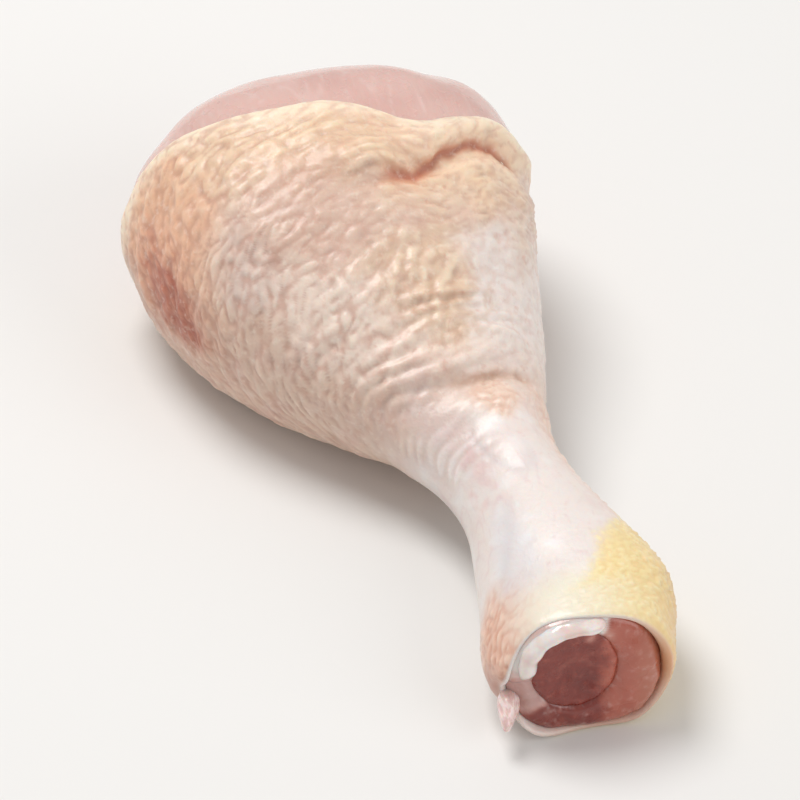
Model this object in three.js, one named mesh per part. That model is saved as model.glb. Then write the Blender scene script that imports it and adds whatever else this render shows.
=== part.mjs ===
// A raw chicken drumstick lying on its broad side, in millimetres with +Z up.
// +X runs along the leg from the knee to the cut hock, +Y points to the shin and -Y to the calf.
// While the leg is being shaped, x = 0 is the knee end; the finished group is centred on its own box.
//
// Every piece is a stack of rings. A ring is a list of points round the leg, and the angle of a point is
// 0 at the shin, a quarter turn at the top, half a turn at the calf and three quarters underneath.
import * as THREE from "three";

const TURN = 2 * Math.PI;
const degrees = (angle) => (angle * Math.PI) / 180;
const mix = (a, b, share) => a + (b - a) * share;
const shareOf = (x, from, to) => THREE.MathUtils.clamp((x - from) / (to - from), 0, 1);
const smooth = (x, from, to) => THREE.MathUtils.smoothstep(x, from, to);
const within = (x, from, to, soft) => smooth(x, from - soft, from) * (1 - smooth(x, to, to + soft));
const bump = (distance, width) => Math.exp(-((distance / width) ** 2));
const sum = (values) => values.reduce((total, value) => total + value, 0);
const signedPower = (value, power) => Math.sign(value) * Math.abs(value) ** power;

// Driving dimensions
const LEG = { length: 127, belly: 24, neck: 80, calfNeck: 94, knob: 115 };
const BELLY = { width: 65, height: 49, sag: 4.5, toShin: -14, crest: -3 };
const NECK = { width: 16.5, height: 16.5, lift: 6, toShin: 0.9, crest: 0 };
const KNOB = { width: 29.8, height: 26, sag: 1.8, toShin: 3.8, crest: 0 };
const SKIN = { thickness: 1.7, lip: 0.7 };
const HOCK_SKIN = { thin: 0.9, thick: 2.5, thickestAt: degrees(8), span: degrees(52) };
const GAP = 0.35;
const BARE_MEAT_INSET = 0.7;
const HOCK_RECESS = 0.5;

// How the outline swells between those dimensions
const TAPER_LAG = 1.35;
const DOME_FULLNESS = 3.2;
const SHOULDER = { at: degrees(40), span: degrees(32), swell: 0.13, reach: 24 };
const SQUARENESS = 0.92;
const HOCK_PINCH = 0.04;
const HOCK_LEAN = 3;
const HOCK_SLANT = { slope: 0.15, back: degrees(115) };
const SETTLING = 1.4;

// The tibia, and the joint that shows at the knee end
const TIBIA = {
  knee: { x: 1.4, y: -7.5, z: 20.5, ry: 5.2, rz: 3.6 },
  shaft: { ry: 4.2, rz: 3.8, bow: 3, dip: 1.2 },
  hock: { x: 126.7, y: -1.8, z: 13.2, ry: 6.6, rz: 7.4 },
};
const KNEE_BOWL = { depth: 3.6, radius: 12 };
const PAD_LIFT = 0.7;
const KNEE_CARTILAGE = { ry: 9.8, rz: 7.4, height: 3.4 };
const HOCK_CARTILAGE = { height: 1.4, from: degrees(60), to: degrees(200) };
const HOCK_TENDON = { at: degrees(198), depth: 1.1, radius: 1.8, reach: { x: 4.8, y: -1.8, z: -1.5 } };
const NOTCH = { depth: 2.6, halfWidth: degrees(12), side: degrees(10) };

// Mesh density
const AROUND = 56;
const SKIN_ROWS = 48;
const ROWS_PER_INNER_ROW = 4;
const FACE_ROWS = 10;
const BONE_ROWS = [9, 21, 33, 47, 67, 87, 98, 109, 119];

// The signed difference of two angles, from minus half a turn to half a turn.
function angleBetween(a, b) {
  return THREE.MathUtils.euclideanModulo(a - b + Math.PI, TURN) - Math.PI;
}

// Which of the belly, neck and knob the leg is like at x: a weighted mean of the three.
function alongLeg(x, belly, neck, knob, bellyEnd = LEG.neck) {
  const likeBelly = 1 - smooth(shareOf(x, LEG.belly, bellyEnd) ** TAPER_LAG, 0, 1);
  const likeKnob = smooth(x, LEG.neck, LEG.knob);
  return neck + (belly - neck) * likeBelly + (knob - neck) * likeKnob;
}

// Half sizes and middle of the leg's cross-section at x. The calf tapers more slowly than the shin.
function section(x) {
  const beyondBelly = shareOf(x, LEG.belly, 0);
  const dome = Math.sqrt(1 - beyondBelly ** DOME_FULLNESS);
  const pinch = 1 - HOCK_PINCH * smooth(x, LEG.knob, LEG.length);
  const size = dome * pinch;
  const widthTo = (bellyEnd) => alongLeg(x, BELLY.width, NECK.width, KNOB.width, bellyEnd);
  const halfHeight = (alongLeg(x, BELLY.height, NECK.height, KNOB.height) / 2) * size;
  const lean = HOCK_LEAN * smooth(x, LEG.knob - 6, LEG.length);
  const toShin = alongLeg(x, BELLY.toShin, NECK.toShin, KNOB.toShin) - lean;
  const crest = alongLeg(x, BELLY.crest, NECK.crest, KNOB.crest);
  const underside = alongLeg(x, -BELLY.sag, NECK.lift, -KNOB.sag);
  return {
    y: toShin + crest,
    z: underside + alongLeg(x, BELLY.height, NECK.height, KNOB.height) / 2,
    shinReach: (widthTo(LEG.neck) / 2 - crest) * size,
    calfReach: (widthTo(LEG.calfNeck) / 2 + crest) * size,
    halfHeight,
  };
}

// The thick end is squarer above the shin, where the knee's big muscle stands out.
function shoulderSwell(x, angle) {
  const fade = 1 - smooth(x, LEG.belly, LEG.belly + SHOULDER.reach);
  return 1 + SHOULDER.swell * fade * bump(angleBetween(angle, SHOULDER.at), SHOULDER.span);
}

// A point of the leg's plain outline, before folds and before it settles on the table.
function bodyPoint(x, angle) {
  const s = section(x);
  const across = Math.cos(angle);
  const reach = across > 0 ? s.shinReach : s.calfReach;
  const swell = shoulderSwell(x, angle);
  return new THREE.Vector3(
    x,
    s.y + swell * reach * signedPower(across, SQUARENESS),
    s.z + swell * s.halfHeight * signedPower(Math.sin(angle), SQUARENESS),
  );
}

// The outward normal of a surface. Its first parameter runs away from the knee and its second is the angle.
function outward(surface, u, angle, step) {
  const alongStep = surface(u + step, angle).sub(surface(u - step, angle));
  const aroundStep = surface(u, angle + 0.02).sub(surface(u, angle - 0.02));
  return aroundStep.cross(alongStep).normalize();
}

// Soft flesh flattens against whatever it lies on: nothing stays below the given height.
function settle(point, floor) {
  const over = point.z - floor;
  if (over <= -SETTLING) point.z = floor;
  else if (over < SETTLING) point.z = floor + (over + SETTLING) ** 2 / (4 * SETTLING);
  return point;
}

// Where the skin starts at the knee end: an uneven edge that leaves the meat's end bare, least at the calf.
const EDGE = { shin: 27, calf: 17.3, shinAt: degrees(40), from: degrees(10), to: degrees(95) };
const EDGE_BAYS = [
  { at: degrees(30), back: 1.2, width: degrees(9) },
  { at: degrees(45), back: -1.3, width: degrees(10) },
  { at: degrees(67), back: 3.8, width: degrees(8) },
  { at: degrees(88), back: -1.9, width: degrees(9) },
  { at: degrees(112), back: 1.1, width: degrees(14) },
];

function skinEdge(angle) {
  const fromShin = Math.abs(angleBetween(angle, EDGE.shinAt));
  const bays = sum(EDGE_BAYS.map(({ at, back, width }) => back * bump(angleBetween(angle, at), width)));
  const waves = 0.35 * Math.sin(9 * angle);
  return mix(EDGE.shin, EDGE.calf, smooth(fromShin, EDGE.from, EDGE.to)) + bays + waves;
}

// How deep the notch is that the stub of tendon comes out of.
function notch(angle) {
  const fromTendon = Math.abs(angleBetween(angle, HOCK_TENDON.at));
  return NOTCH.depth * (1 - smooth(fromTendon, NOTCH.halfWidth, NOTCH.halfWidth + NOTCH.side));
}

// Where the skin is cut off at the hock.
function hockCut(angle) {
  return LEG.length - 0.8 + 0.7 * Math.sin(2 * angle + 0.4) + 0.35 * Math.sin(5 * angle) - notch(angle);
}

// A roll of slack skin near the edge, over the top towards the shin, with a deep crease behind it.
const ROLL = {
  from: degrees(22),
  to: degrees(84),
  soft: degrees(14),
  crest: { fromCrease: 3.3, fromCreaseOnTop: 4.8, height: 0.9, heightOnTop: 2.1 },
  crease: { x: 30.7, xOnTop: 39, from: degrees(38), to: degrees(76), depth: 1.1, width: 1.5 },
};

function slackRoll(x, angle) {
  const { crest, crease } = ROLL;
  const onTop = smooth(angle, crease.from, crease.to);
  const towardsShin = 1.6 * bump(angleBetween(angle, degrees(28)), degrees(9));
  const fromCrease = x - mix(crease.x, crease.xOnTop, onTop) - towardsShin;
  const crestAt = mix(crest.fromCrease, crest.fromCreaseOnTop, onTop);
  const rise = mix(crest.height, crest.heightOnTop, onTop) * bump(fromCrease + crestAt, 0.7 * crestAt);
  const fall = crease.depth * bump(fromCrease, crease.width);
  return within(angle, ROLL.from, ROLL.to, ROLL.soft) * (rise - fall);
}

// The skin bunches in small folds where the belly runs into the neck, most of all on top.
const GATHERS = [
  { x: 66.5, height: 1.2, width: 2.6 },
  { x: 70.1, height: -1.3, width: 1.5 },
  { x: 74.3, height: 0.9, width: 2.8 },
];

function neckGathers(x, angle) {
  const along = x - 0.8 * Math.sin(angle - 0.6);
  const strength = mix(0.2, 1, bump(angleBetween(angle, degrees(95)), degrees(45)));
  return strength * sum(GATHERS.map((fold) => fold.height * bump(along - fold.x, fold.width)));
}

// Tendons stand up under the thin skin of the shank, one of them in a smooth oval swelling. The joint swells
// the knob, and its heel stands out low down at the calf.
const TENDONS = [
  { at: degrees(78), height: 0.8, width: degrees(20) },
  { at: degrees(200), height: 0.9, width: degrees(24) },
];
const OVAL = { x: 83.5, at: degrees(98), height: 0.8, length: 5.5, width: degrees(20) };
const HEEL = { x: 121, at: degrees(195), height: 1.2, length: 8, width: degrees(26) };

function swelling({ x: middle, at, height, length, width }, x, angle) {
  return height * bump(x - middle, length) * bump(angleBetween(angle, at), width);
}

function shankRelief(x, angle) {
  const heights = TENDONS.map(({ at, height, width }) => height * bump(angleBetween(angle, at), width));
  const swellings = swelling(OVAL, x, angle) + swelling(HEEL, x, angle);
  const knuckles = 0.8 * bump(x - LEG.knob, 9) * Math.cos(2 * (angle - degrees(18)));
  return within(x, LEG.neck, LEG.knob - 4, 13) * sum(heights) + swellings + knuckles;
}

// Slow swells over the belly's muscle.
function bellySwells(x, angle) {
  const long = 0.55 * Math.sin(x / 9 + 2.2 * Math.sin(angle)) * Math.sin(2 * angle + x / 23);
  const short = 0.3 * Math.sin(x / 4.5 - 3 * angle);
  return (1 - smooth(x, LEG.neck - 30, LEG.neck - 8)) * (long + short);
}

// The height of the skin's folds above the plain outline, with a slightly thickened lip along the edge.
function skinRelief(x, angle) {
  const fromEdge = x - skinEdge(angle);
  const lip = 0.45 * bump(fromEdge - 1.5, 2.2);
  const folds = lip + slackRoll(x, angle) + neckGathers(x, angle);
  return folds + shankRelief(x, angle) + bellySwells(x, angle);
}

// How thick the skin is. At the hock it is thickest where the scales begin, on the shin side.
function skinThickness(x, angle) {
  const { thin, thick, thickestAt, span } = HOCK_SKIN;
  const atHock = smooth(x, LEG.knob - 8, LEG.knob + 5);
  return mix(SKIN.thickness, mix(thin, thick, bump(angleBetween(angle, thickestAt), span)), atHock);
}

// A point of the skin, or of the meat under it, at a depth below the outline. Only depth 0 has folds.
function skinPoint(x, angle, depth) {
  const point = bodyPoint(x, angle);
  const clearOfTable = smooth(point.z, 1.5, 8);
  const relief = depth === 0 ? skinRelief(x, angle) * clearOfTable : 0;
  return settle(point.addScaledVector(outward(bodyPoint, x, angle, 0.05), relief - depth), depth);
}

const countUp = (count, itemAt) => Array.from({ length: count }, (_, i) => itemAt(i));
const ring = (pointAt, count = AROUND) => countUp(count, (i) => pointAt((TURN * i) / count));
const underSkin = (x, angle, gap) => skinPoint(x, angle, skinThickness(x, angle) + gap);

// The x of row number i of the skin, counted from its edge; the rows crowd towards the edge.
const skinRowX = (i, angle) => mix(skinEdge(angle), hockCut(angle), (i / SKIN_ROWS) ** 1.2);

function skinRings() {
  const outer = countUp(SKIN_ROWS + 1, (i) => ring((a) => skinPoint(skinRowX(i, a), a, 0)));
  const inner = countUp(SKIN_ROWS / ROWS_PER_INNER_ROW + 1, (i) =>
    ring((a) => underSkin(skinRowX(i * ROWS_PER_INNER_ROW, a), a, 0)),
  );
  const lip = (x, angle) => skinPoint(x, angle, skinThickness(x, angle) / 2);
  const kneeLip = ring((a) => lip(skinEdge(a) - SKIN.lip, a));
  const hockLip = ring((a) => lip(hockCut(a) + SKIN.lip, a));
  return [kneeLip, ...outer, hockLip, ...inner.reverse()];
}

// The middle of the tibia at x, and its half sizes there.
function tibiaAt(x) {
  const { knee, shaft, hock } = TIBIA;
  const along = shareOf(x, knee.x, hock.x);
  const likeKnee = 1 - smooth(x, knee.x + 4, knee.x + 45);
  const likeHock = smooth(x, hock.x - 40, hock.x - 6);
  return {
    y: mix(knee.y, hock.y, along) + shaft.bow * Math.sin(Math.PI * along),
    z: mix(knee.z, hock.z, along) - shaft.dip * Math.sin(Math.PI * along),
    ry: shaft.ry + (knee.ry - shaft.ry) * likeKnee + (hock.ry - shaft.ry) * likeHock,
    rz: shaft.rz + (knee.rz - shaft.rz) * likeKnee + (hock.rz - shaft.rz) * likeHock,
  };
}

// A point round the tibia at x, at a distance from its surface.
function aroundTibia(x, angle, distance) {
  const t = tibiaAt(x);
  const y = t.y + (t.ry + distance) * Math.cos(angle);
  return new THREE.Vector3(x, y, t.z + (t.rz + distance) * Math.sin(angle));
}

// The edge of the hole that the bone comes through in the bottom of the knee's bowl.
const kneeMouth = (angle) => aroundTibia(TIBIA.knee.x + KNEE_BOWL.depth / 2, angle, GAP);

// Muscles meet in seams that run out from the joint. A thick lip of muscle hangs over it like an eyelid.
const SEAMS = [
  { at: degrees(12), bend: degrees(20), depth: 1.6 },
  { at: degrees(74), bend: degrees(-26), depth: 1.8 },
  { at: degrees(138), bend: degrees(22), depth: 1.5 },
  { at: degrees(205), bend: degrees(-18), depth: 1.8 },
  { at: degrees(292), bend: degrees(16), depth: 1.7 },
];
const SEAM_REACH = 30;
const EYELID = { at: degrees(104), span: degrees(48), fromJoint: 12.5, thickness: 5, height: 2.2 };

// How far the muscles stand out of the knee's face, by angle round the joint and distance from it.
function muscleRelief(angle, fromJoint) {
  const seamWidth = degrees(mix(16, 6, shareOf(fromJoint, 6, SEAM_REACH)));
  const seams = SEAMS.map(({ at, bend, depth }) => {
    const fromSeam = angleBetween(angle, at + (bend * fromJoint) / SEAM_REACH);
    return -depth * bump(fromSeam, seamWidth);
  });
  const fromEyelid = fromJoint - EYELID.fromJoint;
  const eyelid = bump(angleBetween(angle, EYELID.at), EYELID.span) * bump(fromEyelid, EYELID.thickness);
  return EYELID.height * eyelid + smooth(fromJoint, 5, 11) * sum(seams);
}

// The x of the rounded end of the meat over a point of the knee's face. The joint sits in a shallow bowl.
function kneeFaceX(y, z) {
  const s = section(LEG.belly);
  const reach = (y > s.y ? s.shinReach : s.calfReach) - BARE_MEAT_INSET;
  const power = 2 / SQUARENESS;
  const across = Math.abs((y - s.y) / reach) ** power;
  const up = Math.abs((z - s.z) / (s.halfHeight - BARE_MEAT_INSET)) ** power;
  const around = Math.atan2((z - s.z) / s.halfHeight, (y - s.y) / reach);
  const out = Math.min(1, (across + up) ** (1 / power) / shoulderSwell(LEG.belly, around));
  const dome = LEG.belly * (1 - (1 - out ** 2) ** (1 / DOME_FULLNESS));
  const fromJoint = Math.hypot(y - TIBIA.knee.y, z - TIBIA.knee.z);
  const bowl = KNEE_BOWL.depth * bump(fromJoint, KNEE_BOWL.radius);
  const angle = Math.atan2(z - TIBIA.knee.z, y - TIBIA.knee.y);
  return dome + BARE_MEAT_INSET + bowl - muscleRelief(angle, fromJoint);
}

// A point of the bare meat: spread 0 is the bone's mouth in the joint, and 1 is the widest of the belly.
function bareMeatPoint(spread, angle) {
  const mouth = kneeMouth(angle);
  const widest = bodyPoint(LEG.belly, angle);
  const y = mix(mouth.y, widest.y, spread);
  const z = mix(mouth.z, widest.z, spread);
  return settle(new THREE.Vector3(kneeFaceX(y, z), y, z), BARE_MEAT_INSET);
}

// The bare meat's face ends part of the way to the skin's edge. The rest is the side of the belly.
const bareEnd = (angle) => skinEdge(angle) - 1.6;
const FACE_SHARE = 0.7;

// How far the face spreads before it is that far along the leg.
function spreadOfFace(angle) {
  let [low, high] = [0, 1];
  for (let i = 0; i < 24; i++) {
    const middle = (low + high) / 2;
    if (bareMeatPoint(middle, angle).x < FACE_SHARE * bareEnd(angle)) low = middle;
    else high = middle;
  }
  return low;
}

// The cut face inside the hock: share 0 is its outer edge, cut back by a little, and 1 is the bone's mouth.
// It bulges a little all round, and a lobe of muscle beside the bone bulges most.
function hockBulge(share, angle) {
  const lobe = bump(angleBetween(angle, degrees(-6)), degrees(50));
  return (0.5 + 1.4 * lobe) * Math.sin(Math.PI * share);
}

function hockFacePoint(share, angle, cutBack) {
  const edge = underSkin(LEG.length - HOCK_RECESS - cutBack, angle, GAP);
  const mouth = aroundTibia(LEG.length - HOCK_RECESS, angle, GAP);
  return edge.lerp(mouth, share).add(new THREE.Vector3(hockBulge(share, angle), 0, 0));
}

function meatRings() {
  const spreads = ring(spreadOfFace);
  const kneeFace = countUp(FACE_ROWS, (row) => {
    const out = Math.sin((Math.PI / 2) * (row / (FACE_ROWS - 1)));
    return spreads.map((spread, i) => bareMeatPoint(spread * out, (TURN * i) / AROUND));
  });
  const side = [0.5, 1].map((share) =>
    ring((a) => skinPoint(mix(FACE_SHARE, 1, share) * bareEnd(a), a, BARE_MEAT_INSET)),
  );
  const covered = countUp(SKIN_ROWS / ROWS_PER_INNER_ROW, (i) =>
    ring((a) => underSkin(skinRowX(i * ROWS_PER_INNER_ROW, a) - (i === 0 ? 0.4 : 0), a, GAP)),
  );
  const face = [0, 0.34, 0.67, 1].map((share) => ring((a) => hockFacePoint(share, a, notch(a))));
  const bore = BONE_ROWS.map((x) => ring((a) => aroundTibia(x, a, GAP)));
  return [...kneeFace, ...side, ...covered, ...face, ...bore.reverse()];
}

// The bone, from the red spot that shows in the knee to the cut end in the hock.
const TIBIA_AROUND = 28;
const ROUND_END = [
  { inFromEnd: 0, size: 0.55 },
  { inFromEnd: 0.35, size: 0.85 },
  { inFromEnd: 1.2, size: 1 },
];
const DISHED_END = [
  { inFromEnd: 0.9, size: 0.4 },
  { inFromEnd: 0.4, size: 0.72 },
  { inFromEnd: 0, size: 0.93 },
  { inFromEnd: 0.5, size: 1 },
];

function tibiaRings() {
  const { knee, hock } = TIBIA;
  const boneEnd = (profile, end, inwards) =>
    profile.map(({ inFromEnd, size }) => {
      const x = end + inwards * inFromEnd;
      const t = tibiaAt(x);
      return ring((a) => aroundTibia(x, a, 0).lerp(new THREE.Vector3(x, t.y, t.z), 1 - size), TIBIA_AROUND);
    });
  const shaft = BONE_ROWS.map((x) => ring((a) => aroundTibia(x, a, 0), TIBIA_AROUND));
  return [...boneEnd(ROUND_END, knee.x, 1), ...shaft, ...boneEnd(DISHED_END, hock.x, -1).reverse()];
}

// The white cartilage round the bone's red end in the knee, rounded and roughly five-sided.
function kneeCartilageRings() {
  const { knee } = TIBIA;
  const pointAt = (angle, across, height) => {
    const inner = kneeMouth(angle);
    const fiveSided = 1 + 0.05 * Math.cos(5 * (angle - degrees(90)));
    const y = mix(inner.y, knee.y + KNEE_CARTILAGE.ry * fiveSided * Math.cos(angle), across);
    const z = mix(inner.z, knee.z + KNEE_CARTILAGE.rz * fiveSided * Math.sin(angle), across);
    return new THREE.Vector3(kneeFaceX(y, z) - GAP - height * KNEE_CARTILAGE.height, y, z);
  };
  const crown = [[0, 0], [0, 0.55], [0.12, 0.85], [0.4, 1]];
  const slope = [[0.7, 0.92], [0.92, 0.6], [1, 0.25], [0.96, 0.02], [0.5, 0]];
  const profile = [...crown, ...slope];
  return profile.map(([across, height]) => ring((a) => pointAt(a, across, height), 28));
}

// A soft pad lying on the knee's face: an oval, turned by an angle, that thins out to its edge.
function padRings({ y, z, ry, rz, turn, height }) {
  const pointAt = (out, angle, lift) => {
    const side = ry * out * Math.cos(angle);
    const up = rz * out * Math.sin(angle);
    const padY = y + side * Math.cos(turn) - up * Math.sin(turn);
    const padZ = z + side * Math.sin(turn) + up * Math.cos(turn);
    return new THREE.Vector3(kneeFaceX(padY, padZ) - PAD_LIFT - lift, padY, padZ);
  };
  const front = [0.12, 0.45, 0.72, 0.9, 1].map((out) =>
    ring((a) => pointAt(out, a, height * (0.25 + 0.75 * Math.sqrt(1 - out ** 2))), 20),
  );
  const back = [1, 0.5, 0.1].map((out) => ring((a) => pointAt(out, a, 0), 20));
  return [...front, ...back];
}

// The white crescent of cartilage that fills the face between the bone and the skin. It is blunt on top and
// thins out down the calf side.
function hockCartilageRings() {
  const { height, from, to } = HOCK_CARTILAGE;
  const top = [[0, 0.6], [0.15, 0.9], [0.35, 1], [0.65, 0.95], [0.9, 0.7], [1, 0.35]];
  const base = [[0.95, 0], [0.6, 0], [0.3, 0], [0, 0]];
  const profile = [...top, ...base];
  const stations = 20;
  return countUp(stations, (i) => {
    const share = i / (stations - 1);
    const angle = mix(from, to, share);
    const size = mix(0.2, 1, smooth(share, 0, 0.2)) * mix(1, 0.2, smooth(share, 0.55, 1));
    return profile.map(([across, up]) => {
      const onFace = hockFacePoint(1 - across * size, angle, 0);
      return onFace.add(new THREE.Vector3(GAP + up * height * size, 0, 0));
    });
  });
}

// The stub of tendon that sticks out of the notch in the skin at the hock, tapering outwards and downwards.
function tendonRings() {
  const { at, depth, radius, reach } = HOCK_TENDON;
  const root = skinPoint(hockCut(at) + SKIN.lip + 3 * GAP, at, depth);
  const steps = [[0, 0.9], [0.3, 1], [0.6, 0.85], [0.85, 0.62], [1, 0.35]];
  return steps.map(([share, size]) => {
    const along = new THREE.Vector3(reach.x, reach.y, reach.z).multiplyScalar(share);
    const aside = (a) => new THREE.Vector3(0, Math.cos(a), Math.sin(a)).multiplyScalar(radius * size);
    return ring((a) => aside(a).add(along).add(root), 14);
  });
}

// The cut at the hock isn't square to the leg: its upper calf side lies further back.
function slanted(point) {
  const { slope, back } = HOCK_SLANT;
  const knob = section(LEG.length);
  const towardsBack = (point.y - knob.y) * Math.cos(back) + (point.z - knob.z) * Math.sin(back);
  point.x -= slope * towardsBack * smooth(point.x, LEG.knob - 15, LEG.length);
  return point;
}

// A closed mesh from a stack of rings: joined end to end where the stack closes on itself, or else capped.
function meshOf(name, rings, { closed, color, roughness }) {
  const count = rings[0].length;
  const points = rings.flat().map(slanted);
  const index = [];
  const at = (row, i) => (row % rings.length) * count + (i % count);
  const lastRow = closed ? rings.length : rings.length - 1;
  for (let row = 0; row < lastRow; row++) {
    for (let i = 0; i < count; i++) {
      index.push(at(row, i), at(row, i + 1), at(row + 1, i + 1));
      index.push(at(row, i), at(row + 1, i + 1), at(row + 1, i));
    }
  }
  if (!closed) {
    for (const row of [0, rings.length - 1]) {
      const middle = rings[row].reduce((total, p) => total.add(p), new THREE.Vector3()).divideScalar(count);
      points.push(middle);
      for (let i = 0; i < count; i++) {
        const edge = [at(row, i), at(row, i + 1)];
        index.push(points.length - 1, ...(row === 0 ? edge.reverse() : edge));
      }
    }
  }
  const geometry = new THREE.BufferGeometry().setFromPoints(points);
  geometry.setIndex(index);
  if (signedVolume(geometry) < 0) geometry.setIndex(index.reverse());
  geometry.computeVertexNormals();
  const mesh = new THREE.Mesh(geometry, new THREE.MeshStandardMaterial({ color, roughness, metalness: 0 }));
  mesh.name = name;
  return mesh;
}

function signedVolume(geometry) {
  const { position } = geometry.attributes;
  const corners = [0, 1, 2].map(() => new THREE.Vector3());
  let volume = 0;
  for (let i = 0; i < geometry.index.count; i += 3) {
    corners.forEach((corner, k) => corner.fromBufferAttribute(position, geometry.index.getX(i + k)));
    volume += corners[0].dot(corners[1].clone().cross(corners[2])) / 6;
  }
  return volume;
}

const leg = new THREE.Group();
leg.add(
  meshOf("skin", skinRings(), { closed: true, color: "#e9cdb6", roughness: 0.42 }),
  meshOf("meat", meatRings(), { closed: true, color: "#d9a79b", roughness: 0.3 }),
  meshOf("tibia", tibiaRings(), { closed: false, color: "#8c4a40", roughness: 0.45 }),
  meshOf("knee_cartilage", kneeCartilageRings(), { closed: true, color: "#efe3da", roughness: 0.3 }),
  meshOf("knee_ligament", padRings({ y: -9, z: 8, ry: 3.4, rz: 4.6, turn: degrees(8), height: 2.2 }), {
    closed: false,
    color: "#e6d6cb",
    roughness: 0.35,
  }),
  meshOf("knee_fat_pad", padRings({ y: 4.5, z: 11.5, ry: 4.2, rz: 5.2, turn: degrees(-20), height: 2.4 }), {
    closed: false,
    color: "#d9b888",
    roughness: 0.35,
  }),
  meshOf("hock_cartilage", hockCartilageRings(), { closed: false, color: "#f0e2db", roughness: 0.3 }),
  meshOf("hock_tendon", tendonRings(), { closed: false, color: "#ecd3cb", roughness: 0.35 }),
);

// The origin goes under the middle of the leg's box, on the surface that it lies on.
const box = new THREE.Box3().setFromObject(leg);
leg.position.set(-(box.min.x + box.max.x) / 2, -(box.min.y + box.max.y) / 2, 0);

const drumstick = new THREE.Group();
drumstick.name = "raw chicken drumstick";
drumstick.add(leg);

export default drumstick;
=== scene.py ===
"""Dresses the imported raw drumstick: each CAD node gets a finely folded copy that looks like the raw thing.

Leg coordinates, used throughout, are millimetres from the knee end and the angle round the leg in degrees:
0 at the shin, 90 on top, 180 at the calf and 270 underneath.
"""
import itertools
import math
from typing import NamedTuple

import bmesh
import bpy
import numpy as np
from mathutils import Matrix, Vector


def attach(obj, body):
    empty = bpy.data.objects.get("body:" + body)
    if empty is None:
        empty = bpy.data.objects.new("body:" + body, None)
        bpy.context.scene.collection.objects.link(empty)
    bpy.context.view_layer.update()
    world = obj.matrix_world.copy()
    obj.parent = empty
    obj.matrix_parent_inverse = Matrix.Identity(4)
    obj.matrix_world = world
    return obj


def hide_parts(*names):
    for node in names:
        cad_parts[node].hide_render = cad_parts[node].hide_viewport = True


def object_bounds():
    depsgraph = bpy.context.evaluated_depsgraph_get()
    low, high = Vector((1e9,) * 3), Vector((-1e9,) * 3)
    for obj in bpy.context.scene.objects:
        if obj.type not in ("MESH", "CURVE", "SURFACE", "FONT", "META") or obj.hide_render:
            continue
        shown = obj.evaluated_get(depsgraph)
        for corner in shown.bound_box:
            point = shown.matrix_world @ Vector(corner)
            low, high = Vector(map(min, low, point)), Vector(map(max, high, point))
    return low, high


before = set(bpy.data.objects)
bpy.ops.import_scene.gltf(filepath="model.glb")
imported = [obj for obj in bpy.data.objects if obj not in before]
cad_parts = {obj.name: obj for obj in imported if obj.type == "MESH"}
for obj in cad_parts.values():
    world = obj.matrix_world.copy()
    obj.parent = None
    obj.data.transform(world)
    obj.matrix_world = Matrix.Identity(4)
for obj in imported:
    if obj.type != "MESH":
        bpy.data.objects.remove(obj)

MM = 0.001
TURN = 2 * math.pi
CAD_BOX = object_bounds()

# The photograph's camera, seen from the leg: it looks along the leg from the hock, from above and a little
# from the calf side.
CAMERA = {
    "target": Vector((0.0007, 0.0006, 0.018)),
    "distance": 1.5864,
    "azimuth": math.radians(-19.17),
    "elevation": math.radians(43.12),
    "roll": math.radians(4.21),
    "lens": 440,
}


# ---------------------------------------------------------------- small helpers

def smooth(values, start, end):
    """0 at the start and 1 at the end, with a soft step between them."""
    share = np.clip((values - start) / (end - start), 0, 1)
    return share * share * (3 - 2 * share)


def within(values, start, end, soft):
    """1 from the start to the end, and falling to 0 over the soft distance outside them."""
    return smooth(values, start - soft, start) * (1 - smooth(values, end, end + soft))


def bump(distance, width):
    """1 in the middle, fading out like a bell."""
    return np.exp(-((distance / width) ** 2))


def turned(angle, towards):
    """How many degrees an angle is from another, from -180 to 180."""
    return (angle - towards + 180) % 360 - 180


def linear(colours):
    """Colours in the usual numbers up to 255 as shares of light, by the sRGB standard's curve."""
    share = np.asarray(colours) / 255
    return np.where(share <= 0.04045, share / 12.92, ((share + 0.055) / 1.055) ** 2.4)


def srgb(red, green, blue):
    """A colour as Blender's sockets want it, from the usual numbers up to 255."""
    return (*linear([red, green, blue]).tolist(), 1.0)


# ---------------------------------------------------------------- noise for the relief

# Numbers that scatter the bits of a seed and of a whole-numbered place.
PRIMES = (73856093, 19349663, 83492791)
SEED_FACTOR = 2654435761
MIXING_FACTOR = 1274126177
MIXING_SHIFTS = (13, 7, 17)
LOW_31_BITS = 0x7FFFFFFF
LOW_20_BITS = 0xFFFFF

# Brings the noise's usual range up to about -1 to 1.
NOISE_GAIN = 1.7


def hashed(corners, seed):
    """A number from 0 to 1 for each whole-numbered corner of an (n, 2) or (n, 3) array."""
    mixed = np.full(len(corners), seed * SEED_FACTOR)
    for axis, prime in zip(corners.T, PRIMES):
        mixed = mixed ^ (axis * prime)
    for shift in MIXING_SHIFTS:
        mixed = (mixed ^ (mixed >> shift)) * MIXING_FACTOR & LOW_31_BITS
    return (mixed & LOW_20_BITS) / LOW_20_BITS


def hashed_spots(corners, seed):
    """A spot between 0 and 1 along each axis, for each whole-numbered corner."""
    return np.stack([hashed(corners, seed + axis) for axis in range(corners.shape[1])], axis=1)


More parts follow.
